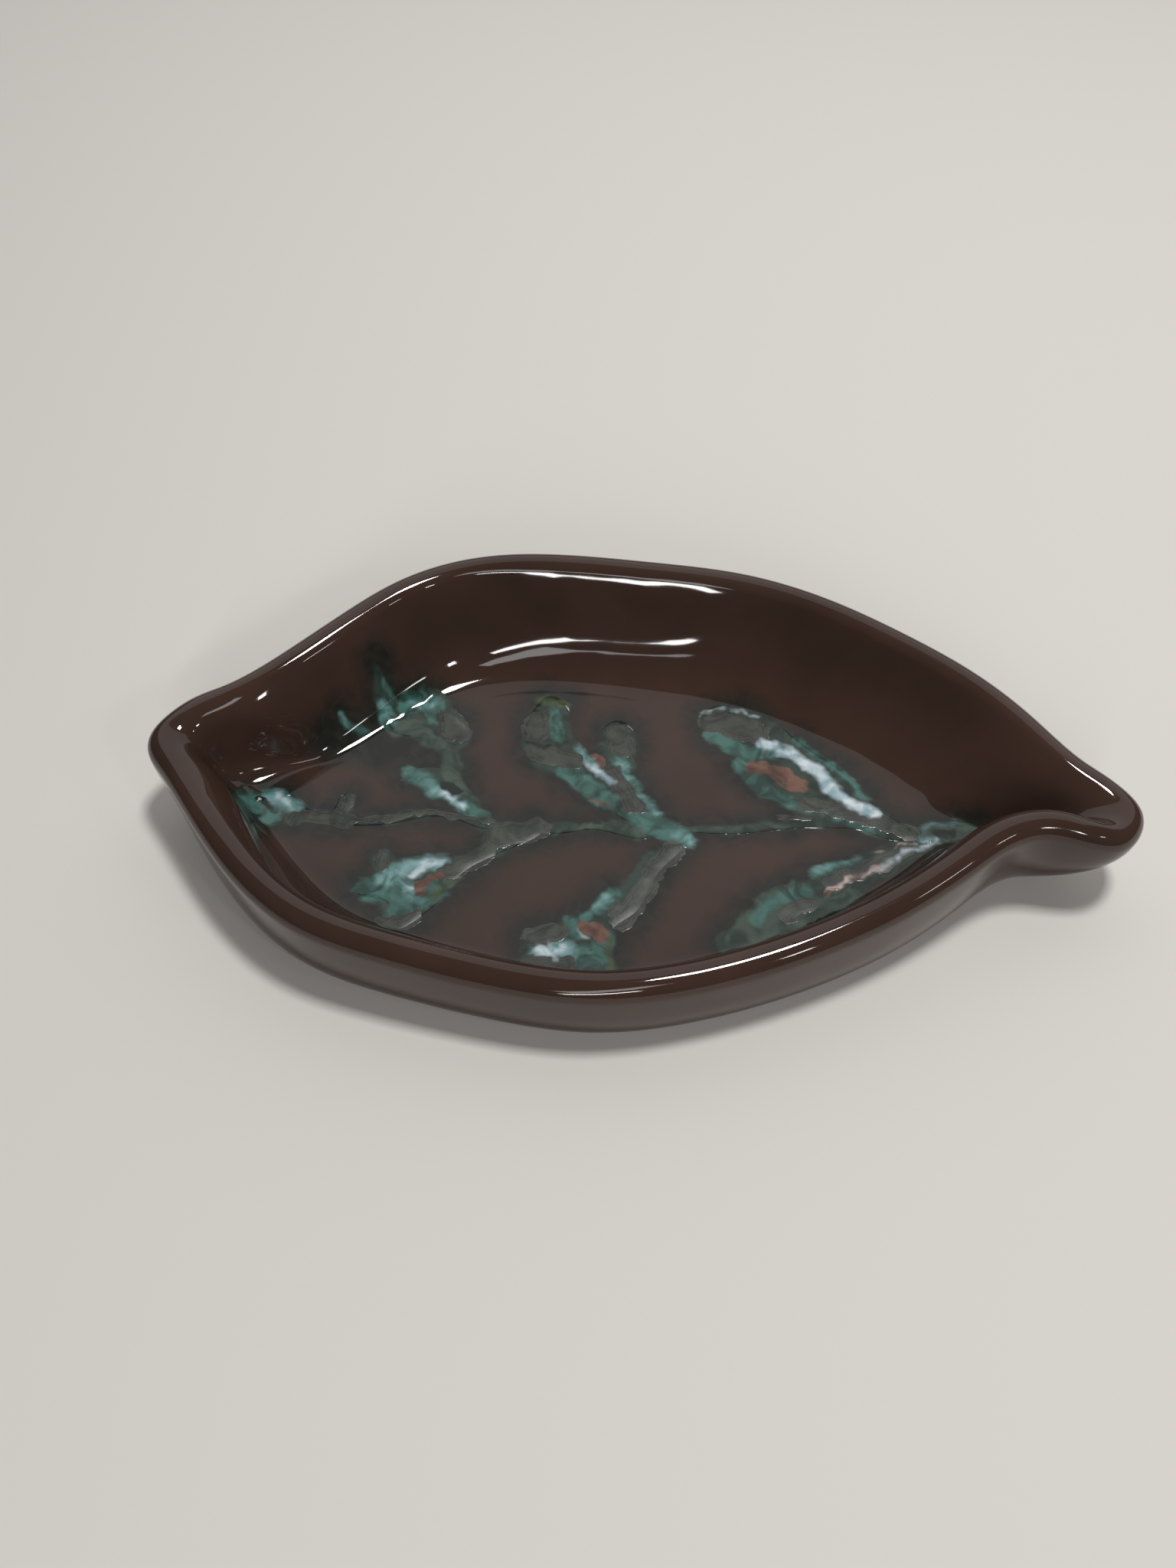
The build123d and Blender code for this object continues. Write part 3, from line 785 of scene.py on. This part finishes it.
# ---- Colours of the trailed glaze
# The glazes ran into each other in the fire. So the strokes of all the veins, and a smear on the
# far wall, colour each vein and stain the brown coat round it.

strokes += [
    ("teal", 0.7, [(-52, 10.6), (-50.8, 10.4), (-48, 10.4)]),
    ("mint", 0.5, [(-52, 10.4), (-50.8, 10.2)]),
    ("halo", 3.0, [(-52, 8.2), (-48.4, 9), (-43.4, 10.8)]),
    ("halo", 3.5, [(-44, 8), (-38, 7)]),
    ("halo", 0.8, [(-46.8, 19.8), (-45.6, 18.4), (-44.8, 17.4)]),
]
for piece in [coat, *veins]:
    count = len(piece.data.vertices)
    places = np.empty(count * 3)
    piece.data.vertices.foreach_get("co", places)
    places = places.reshape(-1, 3) / MM
    shown = np.ones(count, bool)
    if piece is coat:
        # The rings outside the bowl come first in its mesh, and no glaze was trailed on them
        shown = np.arange(count) >= around * len(outer_rings)
    found = amounts(places[shown], strokes)
    for kind, values in found.items():
        full = np.zeros(count)
        full[shown] = values
        piece.data.attributes.new(kind, "FLOAT", "POINT").data.foreach_set("value", full)

# ---- Floor, light and camera
# A plain pale floor under soft studio light, with a pale backdrop that the floor fades into, and
# the camera where the photograph was taken from.

floor_reach = 0.8
fade_start = 0.38
fade_end = 0.62
backdrop_colour = linear("#D8D5CF")

floor_mesh = bpy.data.meshes.new("floor")
floor_form = bmesh.new()
bmesh.ops.create_grid(floor_form, x_segments=1, y_segments=1, size=floor_reach)
floor_form.to_mesh(floor_mesh)
floor = bpy.data.objects.new("floor", floor_mesh)
bpy.context.scene.collection.objects.link(floor)

# Pale matt paper
pale, tree, shader = new_material("pale_floor")
shader.inputs["Base Color"].default_value = linear("#DCD8D2")
shader.inputs["Roughness"].default_value = 0.9
shader.inputs["Specular IOR Level"].default_value = 0.1
where = node(tree, "ShaderNodeTexCoord").outputs["Object"]
away = node(tree, "ShaderNodeVectorMath", {0: where}, operation="LENGTH").outputs["Value"]
fade = node(tree, "ShaderNodeMapRange",
            {"Value": away, "From Min": fade_start, "From Max": fade_end},
            interpolation_type="SMOOTHSTEP").outputs["Result"]
seen = node(tree, "ShaderNodeLightPath").outputs["Is Camera Ray"]
faded = node(tree, "ShaderNodeMath", {0: fade, 1: seen}, operation="MULTIPLY").outputs[0]
far_off = node(tree, "ShaderNodeEmission", {"Color": backdrop_colour, "Strength": 1.0})
both = node(tree, "ShaderNodeMixShader",
            {0: faded, 1: shader.outputs[0], 2: far_off.outputs[0]})
tree.links.new(both.outputs[0], tree.nodes["Material Output"].inputs["Surface"])
floor_mesh.materials.append(pale)

world = bpy.data.worlds.new("studio")
bpy.context.scene.world = world
world.use_nodes = True
tree = world.node_tree
sky = tree.nodes["Background"]
sky.inputs["Color"].default_value = linear("#FFFFFF")
sky.inputs["Strength"].default_value = 0.05
backdrop = node(tree, "ShaderNodeBackground", {"Color": backdrop_colour, "Strength": 1.0})
seen = node(tree, "ShaderNodeLightPath").outputs["Is Camera Ray"]
both = node(tree, "ShaderNodeMixShader", {0: seen, 1: sky.outputs[0], 2: backdrop.outputs[0]})
tree.links.new(both.outputs[0], tree.nodes["World Output"].inputs["Surface"])


def soft_light(name, start, end, width, radiance):
    """A soft box with an even radiance, from one end to the other, turned towards the dish."""
    start, end = Vector(start), Vector(end)
    x = (end - start).normalized()
    z = (start + end) / 2
    z = (z - z.dot(x) * x).normalized()
    length = (end - start).length
    lamp = bpy.data.lights.new(name, "AREA")
    lamp.shape = "RECTANGLE"
    lamp.size, lamp.size_y = length, width
    lamp.energy = radiance * pi * length * width
    holder = bpy.data.objects.new(name, lamp)
    holder.location = (start + end) / 2
    holder.rotation_mode = "QUATERNION"
    holder.rotation_quaternion = Matrix((x, z.cross(x), z)).transposed().to_quaternion()
    bpy.context.scene.collection.objects.link(holder)


# Two bars and two small lamps in front show in the far wall and the rim. The key light, nearly
# overhead, casts the short shadow, and a pale wall stands behind the dish.
soft_light("front_bar", (-0.058, -0.75, 0.25), (0.19, -0.61, 0.48), 0.036, 26.0)
soft_light("dim_bar", (-0.05, -0.70, 0.40), (0.19, -0.38, 0.68), 0.09, 4.0)
soft_light("small_lamp", (0.415, -0.465, 0.50), (0.455, -0.425, 0.50), 0.06, 26.0)
soft_light("side_lamp", (0.56, -0.30, 0.48), (0.60, -0.25, 0.47), 0.025, 22.0)
soft_light("key_light", (0.08, 0.09, 0.80), (0.20, 0.075, 0.80), 0.12, 80.0)
soft_light("pale_wall", (-0.45, 0.34, 0.31), (0.45, 0.34, 0.31), 0.52, 0.6)

# The photograph is 2048 pixels high, and its focal length is about 1690 of them
photo_height = 2048
focal_length = 1690
sensor = 36.0
camera_data = bpy.data.cameras.new("camera")
camera_data.sensor_fit = "AUTO"
camera_data.sensor_width = sensor
camera_data.lens = sensor * focal_length / photo_height
camera_data.clip_start = 0.01
camera = bpy.data.objects.new("camera", camera_data)
camera.location = (4.6 * MM, -129.7 * MM, 175.7 * MM)
camera.rotation_mode = "QUATERNION"
looking = Vector((-0.0599, 0.6127, -0.7880))
camera.rotation_quaternion = looking.to_track_quat("-Z", "Y")
bpy.context.scene.collection.objects.link(camera)
bpy.context.scene.camera = camera

bpy.context.scene.view_settings.view_transform = "Standard"
